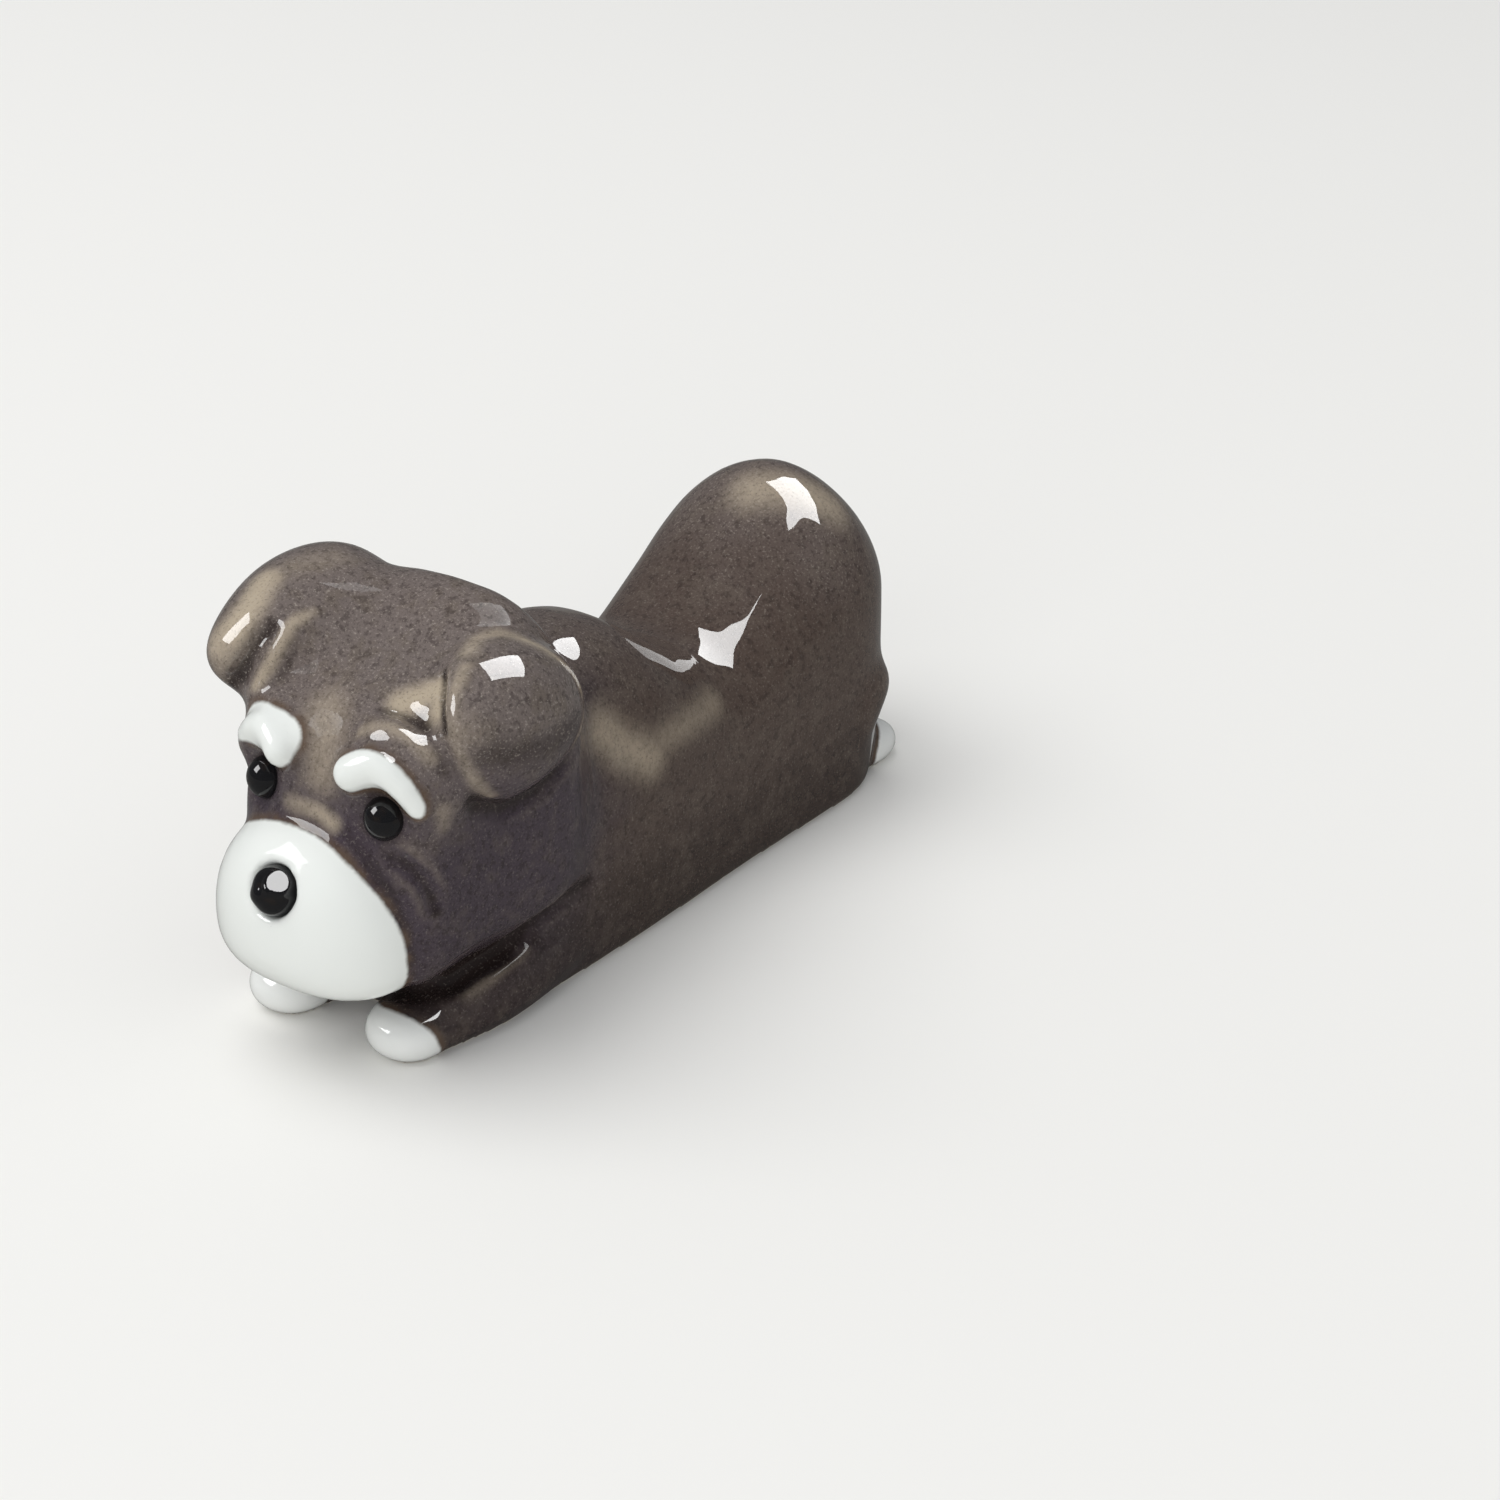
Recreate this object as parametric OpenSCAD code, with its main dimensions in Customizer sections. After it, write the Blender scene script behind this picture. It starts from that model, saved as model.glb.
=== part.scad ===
// Table rest in the form of a lying schnauzer: one fired and glazed lump, built up from the pieces
// that a potter rolls and presses together. The dog faces -Y, its left is +X, and z = 0 is the table.

/* [Overall] */
// Length over all, from the nose bead to the rump
overall_len = 54; // [48:0.5:62]

/* [Torso] */
// Width over the flanks at the saddle
body_w = 14.1; // [12:0.1:16]
// Height of the saddle that takes the sticks
saddle_h = 14.4; // [12:0.1:16]
// Distance of the lowest point of the saddle behind the middle of the length
saddle_back = 6.5; // [4:0.1:8]
// Height of the shoulders, under the back of the head
shoulder_h = 19.9; // [17:0.1:20.5]
// Height of the rump
rump_h = 21.5; // [18:0.1:24]
// Width over the rump
rump_w = 15.4; // [13.5:0.1:17.5]
// Length of the round end of the rump
rump_round = 8.2; // [6.5:0.1:9.5]

/* [Head] */
// Length of the head, from the nose bead to the back of the skull
head_len = 22.2; // [20:0.1:24]
// Height of the crown above the table
crown_h = 24.9; // [23:0.1:28]
// Width of the skull below the ears
skull_w = 15.2; // [13.5:0.1:17]
// Width of the face over the cheeks
face_w = 12.8; // [11.5:0.1:14]
// Height of the chin above the table
chin_h = 4.6; // [4:0.1:5.5]
// Thickness of the rolls of clay under the brows
brow_roll = 3.4; // [2.6:0.1:4]

/* [Muzzle and nose] */
// Width of the white muzzle
muzzle_w = 13; // [11:0.1:14]
// Height of the white muzzle
muzzle_h = 10.3; // [9.5:0.1:12]
// How far the muzzle stands out of the face, with the nose bead
muzzle_out = 3.6; // [2.8:0.1:4.5]
// How far the muzzle sits to the right of the middle
muzzle_shift = 0.8; // [0:0.1:1]
// Width of the nose bead
nose_w = 2.75; // [1.8:0.05:3.2]
// How far the nose bead stands out of the muzzle
nose_out = 0.9; // [0.6:0.05:1.1]

/* [Eyes and brows] */
// Distance between the middles of the eye beads
eye_gap = 8.3; // [7.5:0.1:9.5]
// Height of the eye beads above the table
eye_h = 15.7; // [14.8:0.1:16.4]
// Width of an eye bead
eye_w = 2.2; // [1.7:0.05:2.6]
// Thickness of the white brow strips
brow_w = 2; // [1.5:0.05:2.4]

/* [Ears] */
// Length of an ear flap, along the head
ear_len = 9.8; // [8.5:0.1:11.5]
// Thickness of an ear flap
ear_thick = 4.4; // [3.6:0.1:5]
// Distance of the left ear's outside from the middle
left_ear_x = 9.8; // [9:0.1:10.5]
// Distance of the right ear's outside from the middle
right_ear_x = 10.8; // [9.6:0.1:11.4]
// Distance of the left ear's middle behind the face
left_ear_back = 9.3; // [7.5:0.1:11]
// Distance of the right ear's middle behind the face
right_ear_back = 7.9; // [6.5:0.1:10]
// Slope of the left ear down towards the back of the skull, in degrees
left_ear_slope = 20; // [0:1:40]
// Slope of the right ear down towards the back of the skull, in degrees
right_ear_slope = 4; // [0:1:30]
// Height of the root of the left ear above the table
left_root_h = 23.4; // [22:0.1:25]
// Height of the tip of the left ear above the table
left_tip_h = 15.5; // [14:0.1:18]
// Height of the root of the right ear above the table, which is pressed on higher
right_root_h = 25.5; // [24:0.1:27]
// How far the root of the left ear reaches inwards over the skull
left_root_in = 2.6; // [2:0.1:4]
// How far the root of the right ear reaches inwards over the skull
right_root_in = 5.8; // [4:0.1:6.5]
// How far the root of the left ear lies behind the middle of the ear
left_root_back = 1.4; // [0:0.1:3]
// How far the root of the right ear lies behind the middle of the ear
right_root_back = 2.5; // [0:0.1:4]
// Height of the tip of the right ear above the table
right_tip_h = 18; // [16:0.1:19]

/* [Legs] */
// Width of a foreleg
leg_w = 5.8; // [4.6:0.1:6]
// Height of a foreleg
leg_h = 5.2; // [4.4:0.1:5.8]
// Distance of the left forepaw from the middle
left_paw_x = 3; // [2.8:0.1:4]
// Distance of the right forepaw from the middle
right_paw_x = 5.7; // [4.8:0.1:5.9]
// Length of a forepaw
paw_len = 3.7; // [3:0.1:4.6]
// Height of a forepaw
paw_h = 3.1; // [2.8:0.1:3.8]
// Width of a forepaw
paw_w = 5; // [4.2:0.1:5.2]

/* [Hidden] */

front_y = -overall_len / 2;
rear_y = overall_len / 2;

grey_glaze = "#77706b";
white_glaze = "#eceeea";
thin_white_glaze = "#cfd1cd";
black_glaze = "#0d0d0e";

// Smooth curve through a table of stations: the first column holds the stations in rising order,
// and c is the column that is wanted at the station t
function slope(table, i, c) =
    let (a = max(i - 1, 0), b = min(i + 1, len(table) - 1))
    (table[b][c] - table[a][c]) / (table[b][0] - table[a][0]);
function at(table, t, c) =
    let (i = max([for (k = [0 : len(table) - 2]) if (table[k][0] <= t || k == 0) k]),
         gap = table[i + 1][0] - table[i][0],
         s = min(max((t - table[i][0]) / gap, 0), 1))
    (2 * s ^ 3 - 3 * s ^ 2 + 1) * table[i][c] + (s ^ 3 - 2 * s ^ 2 + s) * gap * slope(table, i, c)
    + (3 * s ^ 2 - 2 * s ^ 3) * table[i + 1][c] + (s ^ 3 - s ^ 2) * gap * slope(table, i + 1, c);

// Share of its full section that a loft has at a distance from an end that is rounded over a length
function round_end(distance, length) =
    distance >= length ? 1 : sqrt(max(1 - (1 - distance / length) ^ 2, 0));

// Share of the way along a loft that sets its rings closer together near both ends
function eased(t) = 0.5 - 0.5 * cos(180 * t);

// Cosine or sine raised to a power that squares the circle up, with its sign kept
function squared(value, squareness) = sign(value) * abs(value) ^ (2 / squareness);

function ring_middle(ring) = [for (p = ring) 1 / len(ring)] * ring;

// Solid through a row of rings that have the same number of points, closed at each end by a fan of
// faces round the middle of the ring
module loft(rings) {
    sides = len(rings[0]);
    last = len(rings) - 1;
    front_cap = len(rings) * sides;
    polyhedron(
        points = [for (ring = rings) each ring, ring_middle(rings[0]), ring_middle(rings[last])],
        faces = [
            for (k = [0 : sides - 1]) [front_cap, (k + 1) % sides, k],
            for (i = [0 : last - 1], k = [0 : sides - 1])
                let (a = i * sides + k, b = i * sides + (k + 1) % sides)
                each [[a, b, a + sides], [b, b + sides, a + sides]],
            for (k = [0 : sides - 1]) [front_cap + 1, last * sides + k, last * sides + (k + 1) % sides]
        ],
        convexity = 6);
}

module mirrored(side) {
    mirror([side < 0 ? 1 : 0, 0, 0]) children();
}

// Torso

chest_y = front_y + head_len * 0.36;
// Stations of the torso: place along it, half width, height of the widest place, height of the back
// and squareness of the arch
torso = [
    [chest_y, body_w * 0.36, shoulder_h * 0.3, shoulder_h * 0.5, 2.3],
    [front_y + head_len * 0.75, body_w * 0.45, shoulder_h * 0.4, shoulder_h * 0.9, 2.3],
    [front_y + head_len * 1.14, body_w * 0.49, shoulder_h * 0.42, shoulder_h * 0.96, 2.4],
    [saddle_back, body_w / 2, saddle_h * 0.5, saddle_h, 2.6],
    [(saddle_back + rear_y - rump_round) / 2, (body_w + rump_w) / 4, saddle_h * 0.68,
        (saddle_h * 0.9 + rump_h) / 2, 2.3],
    [rear_y - rump_round, rump_w / 2, rump_h * 0.6, rump_h, 1.85],
    [rear_y, rump_w * 0.49, rump_h * 0.6, rump_h * 0.93, 1.85]
];
foot_squareness = 4;
// Section that is left at the two blunt ends, as a share of the full one
end_share = 0.03;
// How far the flanks would run below the table if they weren't cut there, as a share of their height
sunk_share = 0.42;
torso_rings = 34;
torso_sides = 32;
steepest_angle = 72;

// Ring of a form that stands on the table: middle, half width, height of the widest place, rise above
// it and fall below it, with what would fall below the table laid flat on it
function standing_ring(x, y, half_w, widest, rise, fall, top_sq, low_sq, sides) =
    let (start = fall > widest ? min(asin((widest / fall) ^ (low_sq / 2)), steepest_angle) : steepest_angle,
         foot_sides = floor(sides / 5), arch_sides = sides - foot_sides)
    [for (k = [0 : sides - 1])
        let (angle = k <= arch_sides
                ? -start + (180 + 2 * start) * k / arch_sides
                : 180 + start + (180 - 2 * start) * (k - arch_sides) / foot_sides,
             sq = sin(angle) >= 0 ? top_sq : low_sq,
             reach = sin(angle) >= 0 ? rise : fall)
        [x + half_w * squared(cos(angle), sq), y, max(widest + reach * squared(sin(angle), sq), 0)]];

module torso_form() {
    loft([for (i = [0 : torso_rings])
        let (y = chest_y + (rear_y - chest_y) * eased(i / torso_rings),
             swell = max(round_end(y - chest_y, body_w / 3) * round_end(rear_y - y, rump_round), end_share),
             widest = at(torso, y, 2))
        standing_ring(0, y, at(torso, y, 1) * swell, widest, (at(torso, y, 3) - widest) * swell,
            widest * (1 + sunk_share) * swell, at(torso, y, 4), foot_squareness, torso_sides)]);
}

module torso() {
    color(grey_glaze) torso_form();
}

// Head

skull_y = front_y + muzzle_out * 0.86;
skull_len = front_y + head_len - skull_y;
// Stations of the skull: share of its length from the face to the back, half width, height of the
// widest place, top and underside
skull = [
    [0, face_w * 0.485, chin_h * 2.05, eye_h * 0.99, chin_h * 1.12],
    [0.07, face_w * 0.51, chin_h * 2.07, eye_h * 1.14, chin_h * 1.02],
    [0.16, face_w * 0.52, chin_h * 2.15, crown_h * 0.803, chin_h],
    [0.36, (face_w + skull_w) / 4, chin_h * 2.4, crown_h * 0.898, chin_h],
    [0.61, skull_w / 2, chin_h * 2.6, crown_h, chin_h * 0.9],
    [0.8, skull_w * 0.49, chin_h * 2.5, crown_h * 0.92, chin_h * 0.84],
    [1, skull_w * 0.45, chin_h * 2.4, crown_h * 0.83, chin_h * 0.84]
];
skull_squareness = 3.3;
jaw_squareness = 3.4;
skull_rings = 24;
skull_sides = 32;

face_round = skull_len * 0.16;
nape_round = skull_len * 0.32;

function skull_swell(y) =
    max(round_end(y - skull_y, face_round) * round_end(skull_y + skull_len - y, nape_round), end_share);
function skull_ring(y) =
    let (t = (y - skull_y) / skull_len, swell = skull_swell(y), widest = at(skull, t, 2))
    [for (k = [0 : skull_sides - 1])
        let (angle = 360 * k / skull_sides,
             sq = sin(angle) >= 0 ? skull_squareness : jaw_squareness,
             reach = sin(angle) >= 0 ? at(skull, t, 3) - widest : widest - at(skull, t, 4))
        [at(skull, t, 1) * swell * squared(cos(angle), sq), y,
            widest + reach * swell * squared(sin(angle), sq)]];

// Whether a point lies inside the skull, and how far forward its face reaches at a place x, z
function in_skull(x, y, z) =
    let (t = (y - skull_y) / skull_len, swell = skull_swell(y), widest = at(skull, t, 2),
         sq = z >= widest ? skull_squareness : jaw_squareness,
         reach = z >= widest ? at(skull, t, 3) - widest : widest - at(skull, t, 4))
    abs(x / (at(skull, t, 1) * swell)) ^ sq + abs((z - widest) / (reach * swell)) ^ sq <= 1;
halving_steps = 14;
function face_y(x, z, near = skull_y, far = skull_y + skull_len / 2, left = halving_steps) =
    let (middle = (near + far) / 2)
    left == 0 ? middle
        : in_skull(x, middle, z) ? face_y(x, z, near, middle, left - 1)
        : face_y(x, z, middle, far, left - 1);

module skull_form() {
    loft([for (i = [0 : skull_rings])
        skull_ring(skull_y + skull_len * eased(i / skull_rings))]);
}

// Line of a brow over an eye: inner end, top and outer end in x and z, as a smooth table over its length
brow_line = [
    [0, eye_gap * 0.3, eye_h + eye_w * 1.08],
    [0.4, eye_gap * 0.46, eye_h + eye_w * 1.4],
    [0.75, eye_gap * 0.63, eye_h + eye_w * 1.02],
    [1, eye_gap * 0.735, eye_h + eye_w * 0.4]
];
brow_steps = 5;
// Thickness of the outer end of the rolls and of the strips, as a share of the inner end
roll_tail_share = 0.8;
strip_tail_share = 0.7;
// How deep the rolls are set into the face, and how far the strips stand out, as shares of their thickness
roll_sink_share = 0.3;
strip_out_share = 0.28;
function brow_point(t, depth) =
    let (x = at(brow_line, t, 1), z = at(brow_line, t, 2))
    [x, face_y(x, z) + depth, z];

// Roll of clay along the brow line, thick at its middle
module brow_strip(width, depth, tail_share) {
    for (i = [0 : brow_steps - 1])
        hull()
            for (t = [i / brow_steps, (i + 1) / brow_steps])
                translate(brow_point(t, depth))
                    sphere(d = width * (1 - (1 - tail_share) * t ^ 2), $fn = 16);
}

module head_form() {
    skull_form();
    for (side = [-1, 1])
        mirrored(side) brow_strip(brow_roll, brow_roll * roll_sink_share, roll_tail_share);
}

eye_sink = eye_w * 0.22;
// Room between a bead and its socket
bead_fit = 0.02;

module eye_form(side, grow = 0) {
    translate([side * eye_gap / 2, face_y(eye_gap / 2, eye_h) + eye_sink, eye_h])
        sphere(d = eye_w + 2 * grow, $fn = 24);
}

module head() {
    color(grey_glaze)
        difference() {
            head_form();
            torso_form();
            for (side = [-1, 1])
                eye_form(side, bead_fit);
        }
}

module eye_left() {
    color(black_glaze) eye_form(1);
}

module eye_right() {
    color(black_glaze) eye_form(-1);
}

module brow(side) {
    color(white_glaze)
        difference() {
            mirrored(side) brow_strip(brow_w, -brow_w * strip_out_share, strip_tail_share);
            head_form();
        }
}

module brow_left() {
    brow(1);
}

module brow_right() {
    brow(-1);
}

// Muzzle

muzzle_low = chin_h * 0.95;
// How much of the height of the muzzle lies below its widest place
muzzle_low_share = 0.36;
muzzle_widest = muzzle_low + muzzle_h * muzzle_low_share;
muzzle_back = skull_y + muzzle_out * 0.6;
muzzle_front = front_y + nose_out * 0.45;
muzzle_rings = 12;
muzzle_sides = 32;
muzzle_squareness = 2.1;
beard_squareness = 2.6;
muzzle_bluntness = 2.2;

// Share of its full section that the muzzle has at a share t of its depth, from the back to the front
function muzzle_swell(t) = max((1 - t ^ muzzle_bluntness) ^ (1 / muzzle_bluntness), end_share);
module muzzle_form() {
    loft([for (i = [0 : muzzle_rings])
        let (t = sin(90 * (1 - i / muzzle_rings)), swell = muzzle_swell(t))
        [for (k = [0 : muzzle_sides - 1])
            let (angle = 360 * k / muzzle_sides,
                 sq = sin(angle) >= 0 ? muzzle_squareness : beard_squareness,
                 reach = muzzle_h * (sin(angle) >= 0 ? 1 - muzzle_low_share : muzzle_low_share))
            [muzzle_w / 2 * swell * squared(cos(angle), sq) - muzzle_shift,
                muzzle_back + (muzzle_front - muzzle_back) * t,
                muzzle_widest + reach * swell * squared(sin(angle), sq)]]]);
}

nose_z = muzzle_low + muzzle_h * 0.69;
nose_d = nose_w * 1.1;
module nose_form(grow = 0) {
    translate([-muzzle_shift * 0.8, front_y + nose_d / 2, nose_z])
        sphere(d = nose_d + 2 * grow, $fn = 24);
}

module muzzle() {
    color(white_glaze)
        difference() {
            muzzle_form();
            head_form();
            nose_form(bead_fit);
        }
}

module nose() {
    color(black_glaze) nose_form();
}

// Ears

// Stations of an ear from its root at the crown to its tip: place out, place back from the face,
// height, half length, half thickness towards the outside and towards the skull that it is pressed on
function ear(side) =
    let (root_h = side > 0 ? left_root_h : right_root_h, tip_h = side > 0 ? left_tip_h : right_tip_h,
         reach = side > 0 ? left_ear_x : right_ear_x, drop = root_h - tip_h,
         root_in = side > 0 ? left_root_in : right_root_in,
         mid_y = skull_y + (side > 0 ? left_ear_back : right_ear_back),
         root_back = side > 0 ? left_root_back : right_root_back)
    [
        [0, reach - ear_thick * 0.95, mid_y + root_back, root_h, ear_len * 0.46, ear_thick * 0.95, root_in],
        [0.3, reach - ear_thick * 0.85, mid_y + root_back * 0.6, root_h - drop * 0.26, ear_len * 0.52,
            ear_thick * 0.85, root_in * 0.9],
        [0.65, reach - ear_thick * 0.6, mid_y - ear_len * 0.06, root_h - drop * 0.64, ear_len * 0.5,
            ear_thick * 0.6, (root_in + ear_thick) * 0.3],
        [1, reach - ear_thick * 0.55, mid_y - ear_len * 0.2, tip_h, ear_len * 0.34, ear_thick * 0.45,
            ear_thick * 0.4]
    ];
// Rounding of the root and of the tip of an ear, as shares of the way between them
ear_root_share = 0.5;
ear_tip_share = 0.5;
// How far an ear drops towards the skull, as a share of its reach inwards
ear_droop_share = 0.2;
ear_rings = 16;
ear_sides = 28;
ear_squareness = 2.1;

module ear_form(side) {
    table = ear(side);
    tilt = side > 0 ? left_ear_slope : right_ear_slope;
    loft([for (i = [0 : ear_rings])
        let (t = eased(i / ear_rings),
             swell = max(round_end(t, ear_root_share) * round_end(1 - t, ear_tip_share), end_share))
        [for (k = [0 : ear_sides - 1])
            let (angle = 360 * k / ear_sides,
                 along = at(table, t, 4) * swell * squared(cos(angle), ear_squareness),
                 out = (sin(angle) >= 0 ? at(table, t, 5) * swell : at(table, t, 6))
                     * squared(sin(angle), ear_squareness))
            [at(table, t, 1) + out, at(table, t, 2) - along * cos(tilt),
                at(table, t, 3) + along * sin(tilt) + min(out, 0) * ear_droop_share]]]);
}

module ear_flap(side) {
    color(grey_glaze)
        difference() {
            mirrored(side) ear_form(side);
            head_form();
            torso_form();
        }
}

module ear_left() {
    ear_flap(1);
}

module ear_right() {
    ear_flap(-1);
}

// Forelegs and forepaws

paw_front = front_y + head_len * 0.21;
wrist_y = paw_front + paw_len * 0.8;
elbow_y = front_y + head_len;
// Stations of a foreleg: place along it, place out, half width, height of the widest place and top
function leg(side) =
    let (paw_x = side > 0 ? left_paw_x : right_paw_x, elbow_x = (body_w - leg_w) / 2)
    [
        [wrist_y, paw_x, paw_w / 2, paw_h * 0.45, paw_h],
        [(wrist_y * 2 + elbow_y) / 3, (paw_x + elbow_x * 2) / 3, leg_w * 0.53, leg_h * 0.45, leg_h * 0.94],
        [elbow_y, elbow_x - leg_w * 0.1, leg_w * 0.45, leg_h * 0.45, leg_h * 1.05]
    ];
leg_rings = 9;
leg_sides = 26;
paw_rings = 8;
leg_squareness = 2.2;
paw_bluntness = 2.3;
paw_end_share = 0.12;

function leg_ring(side, y, swell) =
    let (table = leg(side), widest = at(table, y, 3))
    standing_ring(at(table, y, 1), y, at(table, y, 2) * swell, widest, (at(table, y, 4) - widest) * swell,
        widest * (1 + sunk_share / 2) * swell, leg_squareness, leg_squareness, leg_sides);

module foreleg_form(side) {
    loft([for (i = [0 : leg_rings]) leg_ring(side, wrist_y + (elbow_y - wrist_y) * i / leg_rings, 1)]);
}

module forepaw_form(side) {
    loft([for (i = [0 : paw_rings])
        let (t = sin(90 * (1 - i / paw_rings)), y = wrist_y + (paw_front - wrist_y) * t)
        [for (p = leg_ring(side, wrist_y, max((1 - t ^ paw_bluntness) ^ (1 / paw_bluntness), paw_end_share)))
            [p.x, y, p.z]]]);
}

module foreleg(side) {
    color(grey_glaze)
        difference() {
            mirrored(side) foreleg_form(side);
            torso_form();
            head_form();
            muzzle_form();
        }
}

module forepaw(side) {
    color(thin_white_glaze) mirrored(side) forepaw_form(side);
}

module foreleg_left() {
    foreleg(1);
}

module foreleg_right() {
    foreleg(-1);
}

module forepaw_left() {
    forepaw(1);
}

module forepaw_right() {
    forepaw(-1);
}

// Hind legs and tail, low on the rump

hip = [rump_w * 0.37, rear_y - rump_round * 0.78, rump_h * 0.32];
knee = [rump_w * 0.36, rear_y - rump_round * 0.98, rump_h * 0.13];
hip_r = rump_w * 0.15;
knee_r = rump_w * 0.12;
thigh_steps = 8;
thigh_stretch_share = 1.5;

module thigh_form() {
    for (i = [0 : thigh_steps - 1])
        hull()
            for (t = [i / thigh_steps, (i + 1) / thigh_steps])
                translate(hip + (knee - hip) * t)
                    scale([1, thigh_stretch_share, 1])
                        sphere(hip_r + (knee_r - hip_r) * t, $fn = 20);
}

hind_paw_len = rump_round * 0.68;
hind_paw_w = rump_w * 0.27;
hind_paw_h = paw_h * 0.8;
hind_paw_widest = hind_paw_h * 0.4;
hind_paw_x = rump_w * 0.29;
hind_paw_y = rear_y - hind_paw_len * 0.52;
hind_paw_rings = 14;

module hind_paw_form() {
    loft([for (i = [0 : hind_paw_rings])
        let (t = -cos(180 * i / hind_paw_rings),
             swell = max((1 - abs(t) ^ paw_bluntness) ^ (1 / paw_bluntness), paw_end_share))
        standing_ring(hind_paw_x, hind_paw_y + hind_paw_len / 2 * t, hind_paw_w / 2 * swell, hind_paw_widest,
            (hind_paw_h - hind_paw_widest) * swell, hind_paw_widest * (1 + sunk_share / 2) * swell,
            leg_squareness, leg_squareness, leg_sides)]);
}

module thigh(side) {
    color(grey_glaze)
        difference() {
            mirrored(side) thigh_form();
            torso_form();
        }
}

module hind_paw(side) {
    color(thin_white_glaze)
        difference() {
            mirrored(side) hind_paw_form();
            mirrored(side) thigh_form();
            torso_form();
        }
}

module thigh_left() {
    thigh(1);
}

module thigh_right() {
    thigh(-1);
}

module hind_paw_left() {
    hind_paw(1);
}

module hind_paw_right() {
    hind_paw(-1);
}

tail_r = rump_w * 0.1;
tail_steps = 8;
tail_taper_share = 0.25;
function tail_point(t) =
    [0, rear_y - rump_round * (0.2 - 0.06 * t), rump_h * (0.62 + 0.11 * t)];

module tail_form() {
    for (i = [0 : tail_steps - 1])
        hull()
            for (t = [i / tail_steps, (i + 1) / tail_steps])
                translate(tail_point(t)) sphere(tail_r * (1 - tail_taper_share * t), $fn = 20);
}

module tail() {
    color(grey_glaze)
        difference() {
            tail_form();
            torso_form();
        }
}

torso();
head();
muzzle();
nose();
eye_left();
eye_right();
brow_left();
brow_right();
ear_left();
ear_right();
foreleg_left();
foreleg_right();
forepaw_left();
forepaw_right();
thigh_left();
thigh_right();
hind_paw_left();
hind_paw_right();
tail();
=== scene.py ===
"""Dresses the solid frame of a chopstick rest, a lying schnauzer in glazed ceramic, as one lump."""

import math

import bpy
import numpy as np
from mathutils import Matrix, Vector
from mathutils.bvhtree import BVHTree
from mathutils.kdtree import KDTree


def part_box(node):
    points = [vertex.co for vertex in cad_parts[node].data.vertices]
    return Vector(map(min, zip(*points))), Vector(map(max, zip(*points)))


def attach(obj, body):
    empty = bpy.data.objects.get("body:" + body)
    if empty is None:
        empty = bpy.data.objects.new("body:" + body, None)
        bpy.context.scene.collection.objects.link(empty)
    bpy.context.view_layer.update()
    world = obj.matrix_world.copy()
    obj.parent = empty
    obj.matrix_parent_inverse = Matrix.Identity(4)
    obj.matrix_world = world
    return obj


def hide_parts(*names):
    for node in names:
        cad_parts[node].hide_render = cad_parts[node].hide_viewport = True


bl_info = {
    "name": "Schnauzer chopstick rest",
    "version": (1, 0, 0),
    "blender": (4, 5, 0),
    "location": "3D View > Sidebar > Rest",
    "description": "Glazed ceramic chopstick rest in the form of a lying schnauzer",
    "category": "Object",
}

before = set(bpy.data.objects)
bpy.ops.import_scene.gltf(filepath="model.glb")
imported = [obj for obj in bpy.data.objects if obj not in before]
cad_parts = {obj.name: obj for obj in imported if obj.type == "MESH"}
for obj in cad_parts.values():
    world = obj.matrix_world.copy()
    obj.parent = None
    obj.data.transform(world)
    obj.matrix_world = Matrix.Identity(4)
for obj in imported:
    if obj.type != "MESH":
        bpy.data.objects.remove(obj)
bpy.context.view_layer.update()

MM = 0.001
CLAY = "clay"
# The lumps that are pressed together, in the order in which they are cut out of the fused clay again
WHITE_LUMPS = ["brow_left", "brow_right", "muzzle"]
THIN_WHITE_LUMPS = ["forepaw_left", "forepaw_right", "hind_paw_left", "hind_paw_right"]
GREY_LUMPS = ["ear_left", "ear_right", "foreleg_left", "foreleg_right", "thigh_left", "thigh_right",
              "tail", "head", "torso"]
LUMPS = WHITE_LUMPS + THIN_WHITE_LUMPS + GREY_LUMPS
BEADS = ["eye_left", "eye_right", "nose"]
# The lumps whose creases are filled to the wider radius, and the others
ROUNDED_LUMPS = ["torso", "head", "ear_left", "ear_right", "thigh_left", "thigh_right", "tail"]
FINE_LUMPS = [lump for lump in LUMPS if lump not in ROUNDED_LUMPS]

# Corners of a solid of the frame that are nearer to each other than this are one corner
WELD = 0.002 * MM
# A point of a cut lump that is nearer to the fused clay than this lies on its skin
SKIN = 0.004 * MM
# A face belongs to the skin if its normal and the clay's agree at least this well
SKIN_FACING = 0.3
# The steps in which creases are filled are no longer than about this
FILLING_STEP = 0.5 * MM
# Clay that is lower than this is pressed flat on the table
FOOT_HEIGHT = 0.1 * MM
# Grid and passes of smoothing for the solids that cut a lump out
CUTTER_GRAIN, CUTTER_SMOOTHING = 0.25 * MM, 4

# Passes of averaging for the near and the far surroundings of a point, and for the two layers of relief
# that follow from them
NEAR_PASSES, FAR_PASSES, THIN_PASSES, FULL_PASSES = 10, 90, 4, 12
# Passes of averaging before the border of the white glaze is drawn
BORDER_PASSES = 80
# How far from a border the distance to it is kept, in millimetres
BORDER_REACH = 2.0

# Shapes of the beads, as shares of the solid's own size
BEAD_SIZE = 1.03
EYE_SHAPE, NOSE_SHAPE = (1, 1, 1.08), (0.87, 0.93, 0.88)
# Where the facet of the nose lies on the bead, which way it faces, how far it lies from the middle and
# how uneven the bead is, both as shares of the radius
FACET_PLACE, FACET_FACING = (0.56, -0.49, 0.67), (0.425, -0.22, 0.88)
FACET_HEIGHT, UNEVENNESS = 0.93, 0.04
# Cosines of the angles from the facet's place at which it starts and at which it is flat
FACET_START, FACET_FLAT = 0.8, 0.87

# What the lamps are aimed at, in metres
LIT_PLACE = (0, -0.005, 0.01)
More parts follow.
